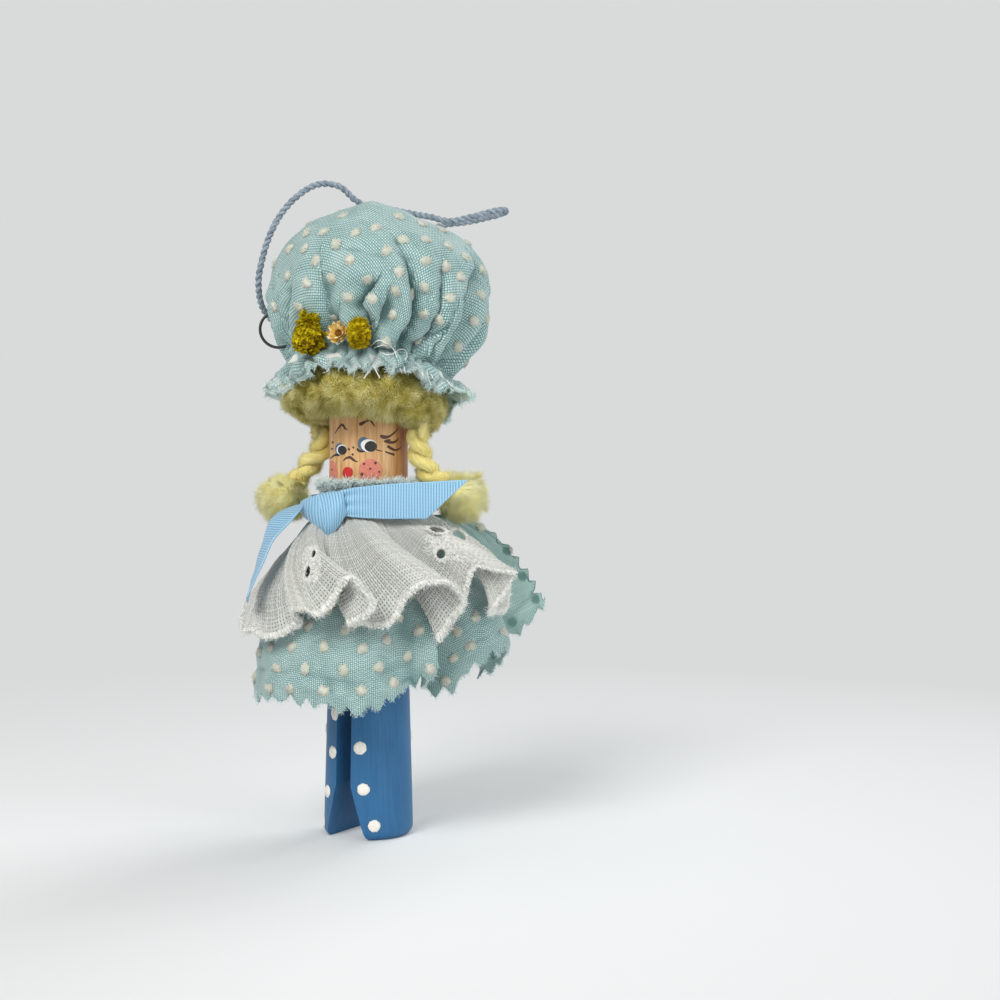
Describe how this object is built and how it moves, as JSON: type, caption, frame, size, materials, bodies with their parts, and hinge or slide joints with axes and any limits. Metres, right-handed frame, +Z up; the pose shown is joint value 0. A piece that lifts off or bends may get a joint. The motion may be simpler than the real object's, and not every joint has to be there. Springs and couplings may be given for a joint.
{
  "type": "clothespin doll",
  "caption": "Clothespin doll ornament with painted face and legs, gathered dotted skirt, lace apron, ribbon, yarn braids, stuffed mob cap with dried flowers and a cord loop.",
  "frame": {"origin": "middle of the slot's mouth, at the height of the feet", "axes": "+Z up along the clothespin, -Y the way the painted face looks, +X towards the doll's left hand"},
  "size_m": [0.051, 0.0483, 0.1121],
  "materials": {
    "wood": "satin",
    "hair": "matte",
    "yarn": "matte",
    "yarn_tie": "matte",
    "tuft": "matte",
    "dotted_cloth": "matte",
    "stuffing": "matte",
    "thread": "matte",
    "lace": "matte",
    "ribbon": "matte",
    "dried_flower": "matte",
    "dried_flower_cup": "matte",
    "black_wire": "satin",
    "cord": "matte"
  },
  "bodies": {
    "doll": {"clothespin": "wood", "hair_roll": "hair", "mob_cap": "dotted_cloth", "cap_stuffing": "stuffing", "cap_thread": "thread", "dress": "dotted_cloth", "apron": "lace", "neck_thread": "thread", "neck_ribbon": "ribbon", "flower_left": "dried_flower", "flower_middle": "dried_flower_cup", "flower_right": "dried_flower", "wire_loop": "black_wire", "hanging_cord": "cord", "cord_knot": "cord"},
    "left_braid": {"braid_left": "yarn", "braid_tie_left": "yarn_tie", "tuft_left": "tuft"},
    "right_braid": {"braid_right": "yarn", "braid_tie_right": "yarn_tie", "tuft_right": "tuft"}
  },
  "joints": [
    {"name": "left_braid_swing", "type": "hinge", "parent": "doll", "child": "left_braid", "pos_m": [-0.009, -0.0004, 0.066], "axis": [0, 1, 0], "range_deg": [0, 40]},
    {"name": "right_braid_swing", "type": "hinge", "parent": "doll", "child": "right_braid", "pos_m": [0.009, 0.0006, 0.066], "axis": [0, -1, 0], "range_deg": [0, 40]}
  ]
}
